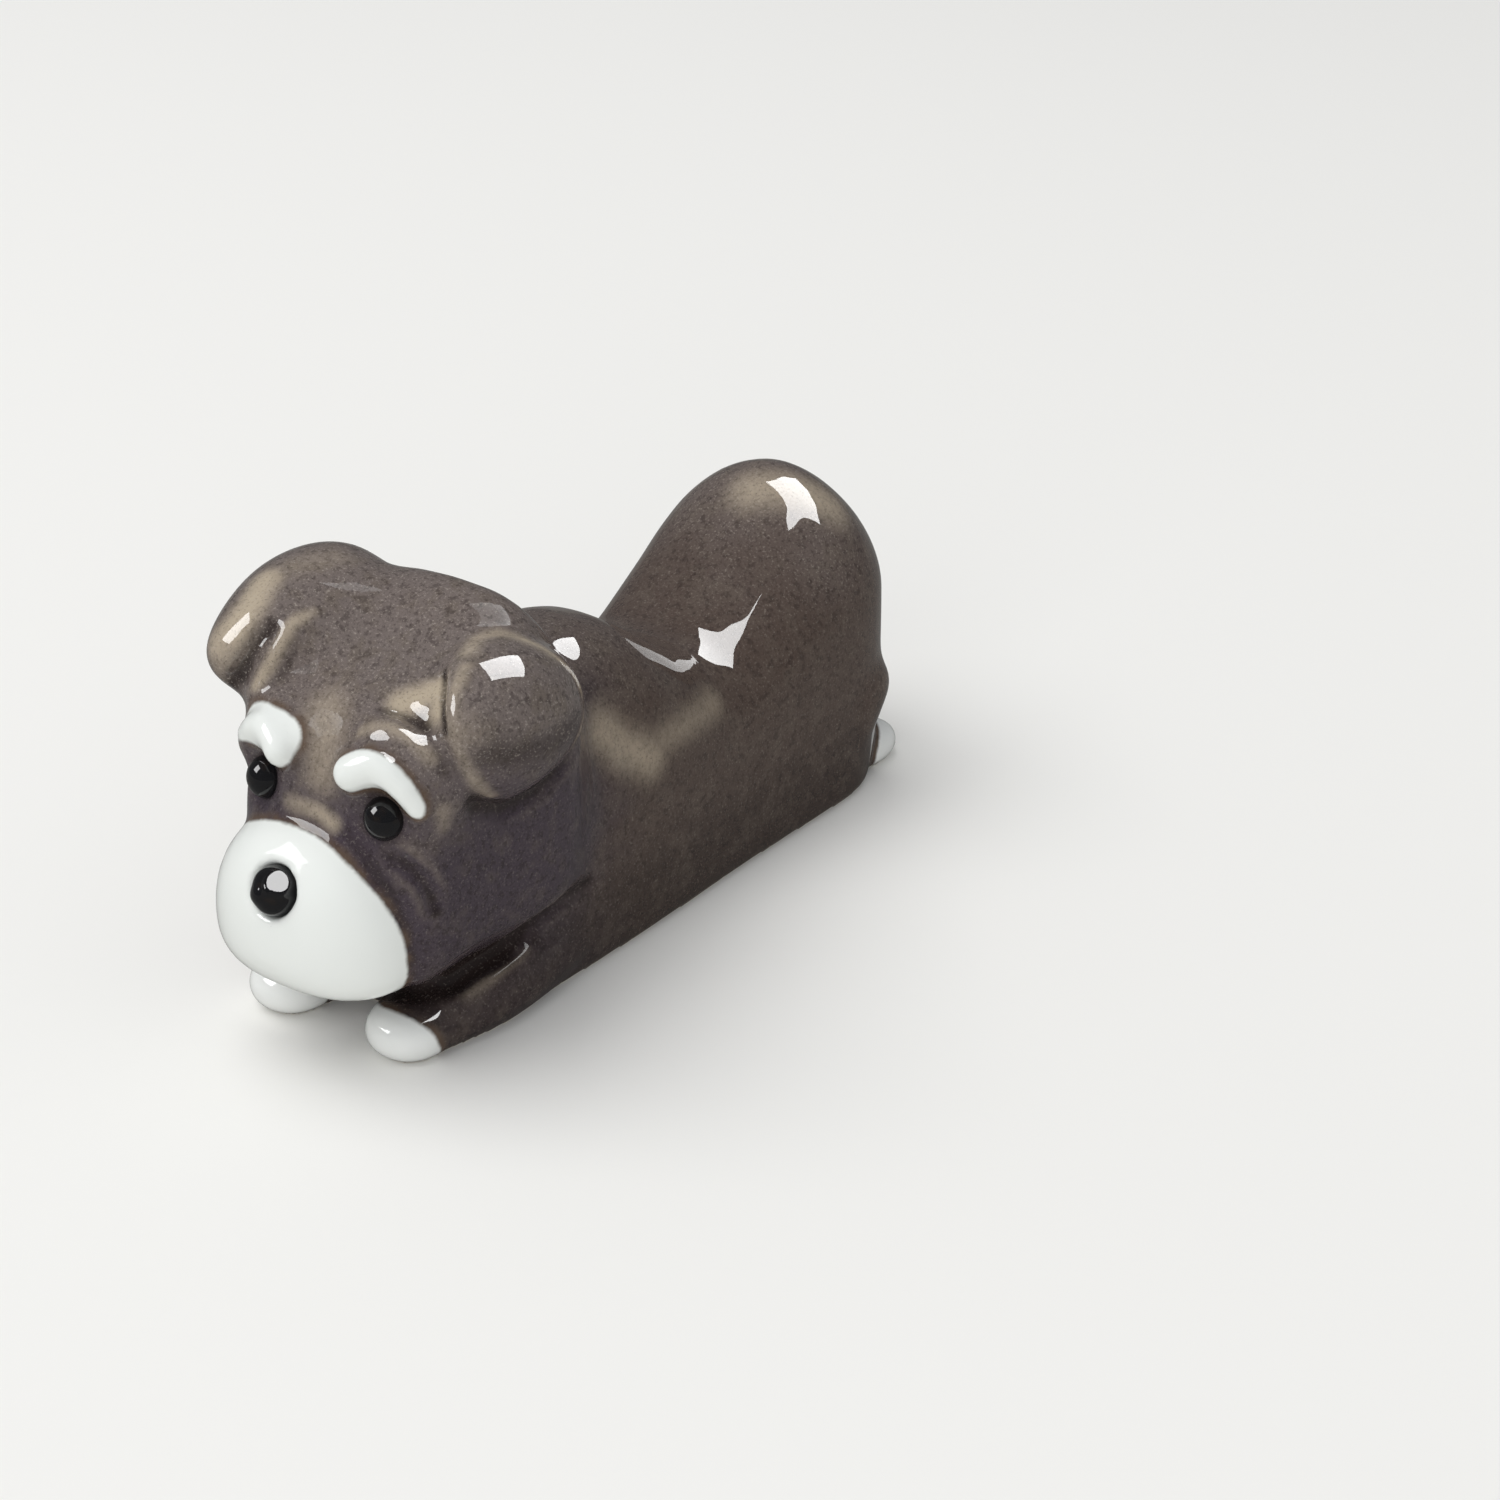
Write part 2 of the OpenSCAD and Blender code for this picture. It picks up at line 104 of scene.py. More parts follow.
# Lamps: name, way from what is lit, distance in metres, and whether it is only mirrored or only lights
LAMPS = [
    ("softbox", (0.15, 0.4, 0.9), 0.42, True),
    ("window", (-0.5, -0.6, 0.62), 0.42, True),
    ("key", (-0.3, -0.25, 0.9), 1.0, False),
    ("fill", (0.4, -0.85, 0.3), 1.2, False),
]


# Sizes and colours

class ClaySizes(bpy.types.PropertyGroup):
    grain: bpy.props.FloatProperty(
        name="Grain", description="Grid on which the pressed lumps are fused",
        default=0.2 * MM, min=0.1 * MM, unit="LENGTH")
    overlap: bpy.props.FloatProperty(
        name="Overlap", description="How far each lump is pressed into its neighbours",
        default=0.04 * MM, unit="LENGTH")
    fillet: bpy.props.FloatProperty(
        name="Fillet", description="Radius to which the creases between the big lumps are filled",
        default=1.0 * MM, unit="LENGTH")
    fine_fillet: bpy.props.FloatProperty(
        name="Fine fillet", description="Radius to which the creases round the other lumps are filled",
        default=0.4 * MM, unit="LENGTH")
    border: bpy.props.FloatProperty(
        name="Border", description="How far a lump reaches past its solid when it is cut out",
        default=0.3 * MM, unit="LENGTH")
    smoothing: bpy.props.IntProperty(
        name="Smoothing", description="Passes of the wet sponge over the clay", default=6)


class GlazeColours(bpy.types.PropertyGroup):
    # Painted light: the grey of the upper side is lighter than the dusk and loam of the sides, partly
    # the glaze's own tone and partly light from above
    grey: bpy.props.FloatVectorProperty(
        name="Grey", description="Grey-brown glaze on the upper side", size=3, subtype="COLOR",
        default=(0.154, 0.127, 0.117))
    loam: bpy.props.FloatVectorProperty(
        name="Loam", description="Brown of the glaze on the flanks and the rump", size=3,
        subtype="COLOR", default=(0.079, 0.057, 0.047))
    dusk: bpy.props.FloatVectorProperty(
        name="Dusk", description="Purple grey of the glaze on the cheeks", size=3,
        subtype="COLOR", default=(0.056, 0.043, 0.053))
    taupe: bpy.props.FloatVectorProperty(
        name="Taupe", description="Lighter, warmer patches of the grey glaze", size=3, subtype="COLOR",
        default=(0.13, 0.105, 0.085))
    # Painted shade: umber darkens the flanks towards the foot and the hollows
    umber: bpy.props.FloatVectorProperty(
        name="Umber", description="Brown of the glaze low on the flanks and in the hollows", size=3,
        subtype="COLOR", default=(0.037, 0.026, 0.022))
    # Beige is also painted as highlights along the pale streaks
    beige: bpy.props.FloatVectorProperty(
        name="Beige", description="Clay that shows through where the glaze is thin", size=3,
        subtype="COLOR", default=(0.43, 0.36, 0.27))
    # Brown is also painted as shade in the creases and folds, and as the shadow in the gap between
    # cheek and foreleg
    brown: bpy.props.FloatVectorProperty(
        name="Brown", description="Glaze pooled in the creases", size=3, subtype="COLOR",
        default=(0.018, 0.012, 0.011))
    rust: bpy.props.FloatVectorProperty(
        name="Rust", description="Brown halo beside the white glaze", size=3, subtype="COLOR",
        default=(0.105, 0.07, 0.048))
    white: bpy.props.FloatVectorProperty(
        name="White", description="White glaze of the muzzle and the brows", size=3, subtype="COLOR",
        default=(0.77, 0.79, 0.76))
    thin_white: bpy.props.FloatVectorProperty(
        name="Thin white", description="White glaze of the paws", size=3, subtype="COLOR",
        default=(0.78, 0.79, 0.77))
    black: bpy.props.FloatVectorProperty(
        name="Black", description="Black glaze of the beads", size=3, subtype="COLOR",
        default=(0.006, 0.006, 0.007))
    glint: bpy.props.FloatVectorProperty(
        name="Glint", description="Pale specks in the grey glaze", size=3, subtype="COLOR",
        default=(0.42, 0.37, 0.32))
    black_ripple: bpy.props.FloatVectorProperty(
        name="Black ripple", description="Thinner places of the black glaze", size=3, subtype="COLOR",
        default=(0.012, 0.009, 0.008))
    foot: bpy.props.FloatVectorProperty(
        name="Foot", description="Bare fired clay under the foot", size=3, subtype="COLOR",
        default=(0.68, 0.63, 0.55))
    floor: bpy.props.FloatVectorProperty(
        name="Floor", description="Pale floor", size=3, subtype="COLOR", default=(0.88, 0.87, 0.84))
    mirrored_floor: bpy.props.FloatVectorProperty(
        name="Mirrored floor", description="Floor as the glaze mirrors it", size=3, subtype="COLOR",
        default=(0.22, 0.215, 0.205))


class StageSizes(bpy.types.PropertyGroup):
    look_at: bpy.props.FloatVectorProperty(
        name="Look at", description="Point in the middle of the view", size=3, unit="LENGTH",
        default=(7.88 * MM, 6.124 * MM, 9 * MM))
    azimuth: bpy.props.FloatProperty(
        name="Azimuth", description="Camera's turn from the dog's face towards its left",
        default=math.radians(34.53), subtype="ANGLE")
    elevation: bpy.props.FloatProperty(
        name="Elevation", description="Camera's height over the table",
        default=math.radians(26.91), subtype="ANGLE")
    distance: bpy.props.FloatProperty(
        name="Distance", description="Camera's distance", default=162.295 * MM, unit="LENGTH")
    lens: bpy.props.FloatProperty(
        name="Lens", description="Focal length in millimetres on a 36 mm sensor", default=64.8)
    softbox_size: bpy.props.FloatProperty(
        name="Softbox", description="Side of the square lamp mirrored overhead", default=0.3,
        unit="LENGTH")
    softbox_power: bpy.props.FloatProperty(
        name="Softbox power", description="Power of the mirrored lamp overhead in watts", default=4.0)
    window_size: bpy.props.FloatProperty(
        name="Window", description="Side of the square lamp mirrored in front", default=0.2,
        unit="LENGTH")
    window_power: bpy.props.FloatProperty(
        name="Window power", description="Power of the mirrored lamp in front in watts", default=1.35)
    key_size: bpy.props.FloatProperty(
        name="Key", description="Side of the square lamp on the dog's right", default=1.0,
        unit="LENGTH")
    key_power: bpy.props.FloatProperty(
        name="Key power", description="Power of the lamp on the dog's right in watts", default=7.0)
    fill_size: bpy.props.FloatProperty(
        name="Fill", description="Side of the square lamp in front", default=1.0, unit="LENGTH")
    fill_power: bpy.props.FloatProperty(
        name="Fill power", description="Power of the lamp in front in watts", default=5.3)
    room: bpy.props.FloatProperty(
        name="Room", description="Strength of the light from all round", default=0.45)
    mirrored: bpy.props.FloatProperty(
        name="Mirrored room", description="Strength of the room as the glaze mirrors it", default=0.12)


# Modelling helpers

def deselect():
    bpy.ops.object.select_all(action="DESELECT")


def pick(*objects):
    deselect()
    for o in objects:
        o.select_set(True)
    bpy.context.view_layer.objects.active = objects[0]


def finish_with(obj, kind, **settings):
    """Adds a modifier with these settings and applies it."""
    pick(obj)
    modifier = obj.modifiers.new(kind.lower(), kind)
    for key, value in settings.items():
        setattr(modifier, key, value)
    bpy.ops.object.modifier_apply(modifier=modifier.name)


def copy_lump(node, name):
    """A closed copy of a solid of the frame, with its loose triangles merged."""
    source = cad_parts[node]
    obj = bpy.data.objects.new(name, source.data.copy())
    bpy.context.scene.collection.objects.link(obj)
    obj.data.materials.clear()
    pick(obj)
    bpy.ops.object.mode_set(mode="EDIT")
    bpy.ops.mesh.select_all(action="SELECT")
    bpy.ops.mesh.remove_doubles(threshold=WELD)
    bpy.ops.object.mode_set(mode="OBJECT")
    obj.data.shade_smooth()
    return obj


def fuse(obj, grain):
    finish_with(obj, "REMESH", mode="VOXEL", voxel_size=grain, use_smooth_shade=True)


def swell(obj, distance):
    finish_with(obj, "DISPLACE", strength=distance, mid_level=0, direction="NORMAL")


def smooth(obj, passes):
    finish_with(obj, "SMOOTH", factor=0.5, iterations=passes)


def fill_creases(obj, radius, grain):
    """Fills the creases to a radius: the clay swells past them in steps and shrinks back."""
    steps = math.ceil(radius / FILLING_STEP)
    for direction in (1, -1):
        for _ in range(steps):
            swell(obj, direction * radius / steps)
            fuse(obj, grain)


def points_of(mesh):
    flat = np.empty(len(mesh.vertices) * 3, np.float32)
    mesh.vertices.foreach_get("co", flat)
    return flat.reshape(-1, 3).astype(float)


def normals_of(mesh):
    flat = np.empty(len(mesh.vertices) * 3, np.float32)
    mesh.vertex_normals.foreach_get("vector", flat)
    return flat.reshape(-1, 3).astype(float)


def edges_of(mesh):
    flat = np.empty(len(mesh.edges) * 2, np.int32)
    mesh.edges.foreach_get("vertices", flat)
    return flat.reshape(-1, 2)


def set_points(mesh, points):
    mesh.vertices.foreach_set("co", points.astype(np.float32).ravel())
    mesh.update()


def relaxed(values, edges, passes):
    """Values at the vertices after so many passes of averaging with their neighbours."""
    count = len(values)
    a, b = edges[:, 0], edges[:, 1]
    degree = np.maximum(np.bincount(a, minlength=count) + np.bincount(b, minlength=count), 1)
    values = values.reshape(count, -1).copy()
    for _ in range(passes):
        for c in range(values.shape[1]):
            column = values[:, c]
            total = (np.bincount(a, weights=column[b], minlength=count)
                     + np.bincount(b, weights=column[a], minlength=count))
            values[:, c] = (column + total / degree) / 2
    return values


# Lines that are both pressed and darkened: the crease across the left ear, the one behind the roll over
# the left brow and the fold of the left cheek

EAR_BAND = [(8.1, -19.0, 18.7), (9.0, -17.9, 18.6), (9.6, -16.4, 19.1), (9.8, -14.4, 19.3),
            (9.4, -12.0, 19.3)]
ROLL_CREASE = [(2.3, -19.9, 20.6), (3.5, -19.5, 20.6), (5.2, -19.7, 20.2), (6.3, -20.0, 19.5),
               (6.8, -20.2, 18.4)]
CHEEK_FOLD = [(4.7, -22.9, 14.1), (5.6, -22.3, 13.5), (6.3, -21.7, 12.5), (6.6, -21.2, 11.3),
              (6.6, -21.1, 10.4)]

# Places along which a wet sponge evens the clay: points of the line in millimetres, then its half
# width and the number of strokes

SPONGED = [
    # Where the right ear runs into the crown and the forehead
    ([(-3.3, -13.1, 24.8), (-3.4, -15.6, 24.6), (-3.5, -17.4, 23.7), (-3.9, -18.6, 22.2)], 2.6, 70),
    # Lower border of the right brow
    ([(-6.0, -21.8, 16.2), (-5.4, -22.3, 17.0), (-4.7, -22.6, 17.6), (-3.9, -22.9, 17.9)], 1.3, 60),
    # Forehead
    ([(-0.2, -14.5, 24.1), (-1.1, -15.7, 23.3), (-1.5, -18.2, 21.7), (-1.2, -20.4, 20.2)], 3.2, 70),
    # Nape, the back of the left ear and the back of the cheek
    ([(8.6, -11.8, 21), (8, -9, 18), (7.4, -7, 14), (7, -5.5, 9)], 2.0, 40),
    ([(5.6, -7.0, 15.4), (6.4, -7.9, 13.8), (6.7, -8.2, 11.5), (6.8, -8.4, 9.1),
      (7.1, -9.6, 7.8)], 2.6, 110),
]

# Ridges and creases pressed along lines on the wet clay: points of the line in millimetres, then
# its half width and its height, which is negative for a crease

TOOL_MARKS = [
    # Hollows round the eyes
    ([(4.2, -22.6, 15.6), (4.15, -22.6, 15.8)], 2.3, -0.3),
    ([(-4.2, -22.6, 15.6), (-4.15, -22.6, 15.8)], 2.2, -0.3),
    # Front edge of the left ear, with the groove before it, its curled rim, and the creases across and
    # below it
    ([(7.4, -19.2, 20.7), (7.4, -19.2, 20.6)], 2.3, 0.5),
    ([(4.8, -17.5, 22.6), (5.6, -18.5, 21.7), (6.3, -19.3, 21.1), (6.8, -19.9, 20.6)], 0.6, -0.5),
    ([(6.4, -17.8, 23.1), (6.6, -18.7, 22.4), (7.1, -19.3, 21.2), (7.5, -19.5, 19.7),
      (7.7, -18.9, 17.8), (7.6, -17.6, 16.2)], 0.7, 0.2),
    (EAR_BAND, 0.8, -0.14),
    ([(7.2, -18.9, 16.6), (7.1, -17.9, 15.4), (7.3, -16.0, 14.5), (7.6, -13.3, 14.6),
      (7.8, -10.9, 15.5), (7.2, -8.6, 16.2)], 0.9, -0.4),
    # Fold at the front of the right ear
    ([(-5.5, -19.1, 23.4), (-6.0, -20.0, 22.5), (-6.3, -20.6, 21.6), (-6.9, -20.8, 20.6),
      (-7.7, -20.6, 19.6)], 0.9, -0.6),
    ([(-4.6, -18.2, 23.7), (-4.8, -19.2, 22.7), (-5.2, -20.1, 21.2), (-5.6, -20.7, 20.2),
      (-6.6, -20.6, 19.1)], 0.8, 0.3),
    # Roll over the left brow and the crease behind it
    ([(2.0, -21.3, 19.7), (3.1, -20.5, 20.2), (4.7, -20.4, 20.0), (5.9, -20.5, 19.4),
      (6.6, -20.6, 18.4)], 1.3, 0.3),
    (ROLL_CREASE, 1.2, -0.2),
    # Fold of the left cheek
    (CHEEK_FOLD, 0.85, -0.42),
    # Creases of the neck's left side
    ([(5.5, -6.5, 15.8), (6.2, -6.6, 13.3), (6.6, -6.5, 10.8), (6.7, -6.0, 8.2)], 1.5, -0.2),
    ([(5.4, -4.9, 15.0), (6.1, -4.2, 12.9), (6.5, -3.4, 10.8)], 1.3, -0.14),
    # Gap between the left cheek and the foreleg
    ([(4.0, -18.7, 3.4), (4.5, -17.9, 3.8), (5.0, -16.8, 4.3), (5.5, -15.8, 4.6), (6.0, -14.4, 5.0),
      (6.4, -12.9, 5.5), (6.6, -10.5, 6.0), (6.6, -7.6, 6.1)], 1.0, -0.75),
    # Edge along the left foreleg
    ([(5.5, -18.5, 2.8), (5.9, -16.6, 3.6), (6.2, -14.7, 4.1), (6.5, -12.4, 4.2)], 0.9, 0.2),
]

# Strokes of white glaze past the white lumps, and of grey glaze over their borders: points of the
# line in millimetres, then half the width of the stroke, which is negative for grey

WHITE_STROKES = [
    # Outer end of the right brow
    ([(-2.0, -22.2, 18.8), (-3.4, -22.3, 19.3), (-4.6, -22.2, 19.2), (-5.4, -21.8, 18.7)], 1.05),
    ([(-6.2, -21.6, 15.8), (-5.7, -22.2, 16.6), (-5.2, -22.3, 17.1), (-4.7, -22.3, 17.4)], -0.65),
    # The grey glaze runs down over the top of the paws
    ([(1.6, -20.1, 2.9), (4.3, -20.0, 2.9), (5.6, -19.3, 1.6), (5.9, -19.0, 0.0)], -0.75),
    ([(-4.0, -20.2, 2.9), (-6.0, -20.2, 2.9), (-7.6, -19.4, 1.6)], -0.6),
]

# Streaks where the colour is pale, partly thin glaze and partly painted highlights, where it is dark,
# partly pooled glaze and partly painted shade,
# and where the glaze is less glossy: points of the line in millimetres, then its half width and its
# strength

PALE_AND_HIGHLIGHT_STREAKS = [
    # Left ear: front edge, the top of the flap and its rim, thin glaze with painted highlights
    ([(6.3, -17.6, 23.3), (6.6, -18.6, 22.5), (7.1, -19.3, 21.2), (7.5, -19.5, 19.7),
      (7.7, -18.9, 17.8), (7.6, -17.6, 16.2)], 0.9, 0.5),
    ([(9.0, -11.2, 20.1), (8.6, -11.6, 21.4), (7.9, -12.4, 22.5), (6.7, -13.2, 23.3)], 0.6, 0.8),
    ([(7.9, -12.4, 22.5), (6.7, -13.2, 23.3), (5.6, -13.8, 23.6), (5.1, -15.0, 23.6),
      (5.6, -16.4, 23.6)], 1.3, 0.55),
    # Right ear: its bulge and the ridge of its fold, thin glaze with painted highlights
    ([(-7.6, -17.4, 24.5), (-7.3, -19.0, 23.9), (-7.5, -20.1, 22.9), (-8.1, -20.3, 21.8)], 1.9, 0.9),
    ([(-4.0, -17.9, 24.0), (-4.6, -18.6, 23.4), (-4.8, -19.3, 22.6), (-5.2, -20.1, 21.2),
      (-5.6, -20.7, 20.2)], 0.8, 0.65),
    ([(-5.6, -14.0, 25.3), (-6.8, -16.0, 25.0)], 2.2, 0.3),
    # Between the brows, the end of the left one and the bridge of the nose
    ([(-0.8, -20.6, 20.1), (0.0, -21.6, 19.0), (0.2, -22.3, 17.3)], 2.8, 0.45),
    ([(7.0, -20.7, 16.3), (6.8, -20.3, 15.2)], 1.1, 0.35),
    ([(-1.8, -23.3, 15.4), (0.2, -23.0, 15.4), (1.4, -23.0, 15.0)], 1.1, 0.6),
    # Painted reflection on the slope between the forehead and the left ear
    ([(3.2, -19.1, 21.0), (4.2, -18.3, 21.6), (5.2, -18.0, 21.8), (5.6, -18.9, 21.2)], 1.6, 0.95),
    # Painted highlight on the top of the roll over the left brow
    ([(2.3, -21.3, 20.0), (3.8, -20.9, 20.5), (5.4, -20.7, 20.1), (6.3, -20.5, 19.2)], 0.9, 0.45),
    # Edge of the saddle behind the neck: painted highlights, with thin glaze
    ([(5.7, -5.6, 14.6), (6.2, -4.4, 13.0), (6.5, -2.2, 11.6)], 2.8, 0.55),
    ([(6.5, -1.0, 12.2), (6.5, 0.6, 12.2), (6.2, 4.7, 12.2)], 2.2, 0.4),
    # Painted highlight on the top of the rump
    ([(0.5, 17.0, 20.6), (3.0, 18.7, 20.6), (4.6, 20.0, 19.6)], 3.2, 0.6),
]

DARK_AND_SHADE_STREAKS = [
    # Groove before the left ear and the crease across it, darkened as pooled glaze and painted shade
    ([(4.8, -17.5, 22.5), (5.6, -18.6, 21.5), (6.3, -19.4, 21.0), (6.8, -20.0, 20.6)], 0.5, 1.0),
    (EAR_BAND, 0.5, 0.45),
    # Painted shade on the lower half of the left ear and painted shadow in the crease below it
    ([(8.8, -18.4, 19.3), (9.3, -17.2, 19.0), (9.4, -15.0, 18.6), (9.3, -12.8, 18.8)], 2.2, 0.55),
    ([(7.2, -18.9, 16.6), (7.1, -17.9, 15.4), (7.3, -16.0, 14.5), (7.6, -13.3, 14.6),
      (7.8, -10.9, 15.5)], 1.0, 0.6),
    # Fold of the right ear, crease behind the left roll and fold of the cheek, darkened as pooled glaze
    # and painted shade
    ([(-5.6, -19.3, 23.2), (-6.0, -20.0, 22.5), (-6.3, -20.6, 21.6), (-6.9, -20.8, 20.6),
      (-7.7, -20.6, 19.6)], 0.9, 0.8),
    (ROLL_CREASE, 0.5, 0.5),
    (CHEEK_FOLD, 0.7, 0.8),
    # Beside the muzzle: painted shade, with pooled glaze
    ([(2.4, -23.4, 14.9), (3.5, -23.3, 13.9), (4.8, -22.9, 12.1), (5.5, -22.7, 10.0),
      (5.7, -22.5, 7.8)], 0.9, 0.55),
    # Painted shadow in the gap between the left cheek and the foreleg
    ([(0.6, -19.9, 3.0), (1.9, -19.9, 3.3), (3.1, -19.7, 3.3), (4.0, -19.0, 3.4), (4.5, -18.0, 3.7),
      (4.9, -16.9, 4.3), (5.3, -16.0, 4.5), (5.8, -15.0, 4.6)], 1.4, 1.0),
    ([(5.8, -15.0, 4.6), (6.3, -12.9, 5.4), (6.6, -10.5, 5.9), (6.6, -8.2, 6.2)], 0.8, 0.9),
    # A pinhole under the nose
    ([(-0.35, -26.49, 9.82), (-0.35, -26.49, 9.82)], 0.3, 1.0),
]

SATIN_STREAKS = [
    # Crown, forehead between the brows, top of the left foreleg and of the muzzle
    ([(-5.0, -15.2, 24.8), (-3.3, -15.3, 24.6), (0.0, -14.2, 24.5), (4.3, -13.1, 24.0)], 4.6, 0.92),
    ([(0.1, -21.4, 19.2), (-0.5, -21.0, 19.7), (-1.8, -20.2, 20.6), (-3.4, -19.1, 21.3)], 3.4, 0.95),
    ([(6.1, -13.5, 4.6), (6.0, -14.9, 4.3), (5.8, -16.3, 3.9)], 1.8, 0.8),
    ([(-0.7, -24.8, 13.4), (0.5, -24.8, 13.4)], 3.6, 0.7),
]


def distance_to_line(points, line):
    """Distance of each point from a line of several points, and the share of the way along it."""
    best = np.full(len(points), 1e9)
    along = np.zeros(len(points))
    for i in range(len(line) - 1):
        a, b = line[i], line[i + 1]
        t = np.clip((points - a) @ (b - a) / max((b - a) @ (b - a), 1e-18), 0, 1)
        d = np.linalg.norm(points - a - t[:, None] * (b - a), axis=1)
        nearer = d < best
        best[nearer] = d[nearer]
        along[nearer] = (i + t[nearer]) / (len(line) - 1)
    return best, along


def sponge(mesh):
    """Evens the clay along the sponged lines, most in their middle."""
    points, edges = points_of(mesh), edges_of(mesh)
    for line, half_width, strokes in SPONGED:
        d, _ = distance_to_line(points, np.array(line, float) * MM)
        wet = np.clip(1.5 * (1 - d / (half_width * MM)), 0, 1)
        places = np.nonzero(wet > 0)[0]
        local = np.full(len(points), -1)
        local[places] = np.arange(len(places))
        inner = local[edges[(wet[edges] > 0).all(1)]]
        patch, share = points[places], wet[places][:, None]
        for _ in range(strokes):
            patch += share * (relaxed(patch, inner, 1) - patch)
        points[places] = patch
    set_points(mesh, points)


def press_marks(mesh):
    """Raises and sinks the clay along the tool marks."""
    points, normals = points_of(mesh), normals_of(mesh)
    for line, half_width, height in TOOL_MARKS:
        d, along = distance_to_line(points, np.array(line, float) * MM)
        share = np.clip(1 - (d / (half_width * MM)) ** 2, 0, 1) ** 2
        if len(line) > 2:
            # A long mark fades over a fifth of its length at each end
            share *= np.clip(np.minimum(along, 1 - along) * 5, 0, 1) ** 0.7
        points += normals * (share * height * MM)[:, None]
    set_points(mesh, points)


def press_facet(mesh, middle, radius):
    """Presses a flat facet on the upper front of a bead and makes it a little uneven."""
    points = points_of(mesh)
    away = points - middle
    ways = away / np.linalg.norm(away, axis=1)[:, None]
    x, z = ways[:, 0], ways[:, 2]
    bumps = (np.sin(5 * x + 2) * np.sin(4 * z + 1) + np.sin(7 * z - 3 * x)) / 2
    points += away * (UNEVENNESS * bumps)[:, None]
    place, facing = (np.array(Vector(way).normalized()) for way in (FACET_PLACE, FACET_FACING))
    over = (points - middle - place * radius * FACET_HEIGHT) @ facing
    near = np.clip((ways @ place - FACET_START) / (FACET_FLAT - FACET_START), 0, 1)
    points -= (near * over)[:, None] * facing
    set_points(mesh, points)


def streaked(points, streaks):
    """Strength of the streaks at each point."""
    strength = np.zeros(len(points))
    for line, half_width, most in streaks:
        d, _ = distance_to_line(points, np.array(line, float) * MM)
        share = np.clip(1 - d / (half_width * MM), 0, 1)
        strength = np.maximum(strength, most * share * share * (3 - 2 * share))
    return strength


# Cutting the fused clay into its lumps

class Clay:
    """The fused clay, kept while its lumps are cut out, with the layers that its surface carries.

    thin and full are the relief against the near and the far surroundings and white the distance from
    the border of the white glaze, all in millimetres; pale, deep and satin are strengths of streaks."""

    LAYERS = ["thin", "full", "white", "pale", "deep", "satin"]
    WHITE = LAYERS.index("white")

    def __init__(self, obj):
        mesh = obj.data
        self.points, self.normals, self.edges = points_of(mesh), normals_of(mesh), edges_of(mesh)
        near, far = (relaxed(self.points, self.edges, passes) for passes in (NEAR_PASSES, FAR_PASSES))
        thin = ((self.points - near) * self.normals).sum(1) / MM
        full = ((self.points - far) * self.normals).sum(1) / MM
        self.layers = np.stack([
            relaxed(thin, self.edges, THIN_PASSES)[:, 0], relaxed(full, self.edges, FULL_PASSES)[:, 0],
            np.full(len(self.points), -BORDER_REACH),
            streaked(self.points, PALE_AND_HIGHLIGHT_STREAKS), streaked(self.points, DARK_AND_SHADE_STREAKS),
            streaked(self.points, SATIN_STREAKS)], 1)
        mesh.calc_loop_triangles()
        self.triangles = np.empty(len(mesh.loop_triangles) * 3, np.int32)
        mesh.loop_triangles.foreach_get("vertices", self.triangles)
        self.triangles = self.triangles.reshape(-1, 3)
        self.tree = BVHTree.FromPolygons(self.points.tolist(), self.triangles.tolist())
        self.index = {key: i for i, key in enumerate(self.keys(self.points))}

    @staticmethod
    def keys(points):
        return map(tuple, np.round(points / SKIN).astype(int).tolist())

    def mark_lump(self, cutter):
        """Adds a white lump: the signed distance in millimetres, along the clay, from its border."""
        tree = BVHTree.FromObject(cutter, bpy.context.evaluated_depsgraph_get())
        corners = np.array(cutter.bound_box)
        low, high = corners.min(0) - BORDER_REACH * MM, corners.max(0) + BORDER_REACH * MM
        places = np.nonzero(((self.points > low) & (self.points < high)).all(1))[0]
        inside = np.full(len(self.points), -BORDER_REACH)
        for i in places:
            hit, normal, _, _ = tree.find_nearest(self.points[i])
            inside[i] = (hit - Vector(self.points[i])).dot(normal) / MM
        for line, half_width in WHITE_STROKES:
            d, _ = distance_to_line(self.points[places], np.array(line, float) * MM)
            stroke = abs(half_width) - d / MM
            inside[places] = (np.maximum(inside[places], stroke) if half_width > 0
                              else np.minimum(inside[places], -stroke))
        inside = relaxed(inside, self.edges, BORDER_PASSES)[:, 0]
        a, b = self.edges[:, 0], self.edges[:, 1]
        crossed = inside[a] * inside[b] < 0
        a, b = a[crossed], b[crossed]
        t = (inside[a] / (inside[a] - inside[b]))[:, None]
        border = self.points[a] + t * (self.points[b] - self.points[a])
        tree = KDTree(len(border))
        for i, point in enumerate(border):
            tree.insert(point, i)
        tree.balance()
        for i in places:
            distance = min(tree.find(self.points[i])[2] / MM, BORDER_REACH)
            self.layers[i, self.WHITE] = max(self.layers[i, self.WHITE],
                                             distance if inside[i] > 0 else -distance)

    def look_up(self, place):
        """Normal, layers and distance of the clay's surface next to a place."""
        hit, _, index, distance = self.tree.find_nearest(place)
        corners = self.triangles[index]
        # Shares of the three corners in the nearest place
        a, b, c = (self.points[k] for k in corners)
        ab, ac, ap = b - a, c - a, np.array(hit) - a
        d00, d01, d11 = ab @ ab, ab @ ac, ac @ ac
        d20, d21 = ap @ ab, ap @ ac
        area = d00 * d11 - d01 * d01
        if area <= 0:
            shares = np.array([1.0, 0, 0])
        else:
            v, w = (d11 * d20 - d01 * d21) / area, (d00 * d21 - d01 * d20) / area
            shares = np.array([1 - v - w, v, w])
        return shares @ self.normals[corners], shares @ self.layers[corners], distance


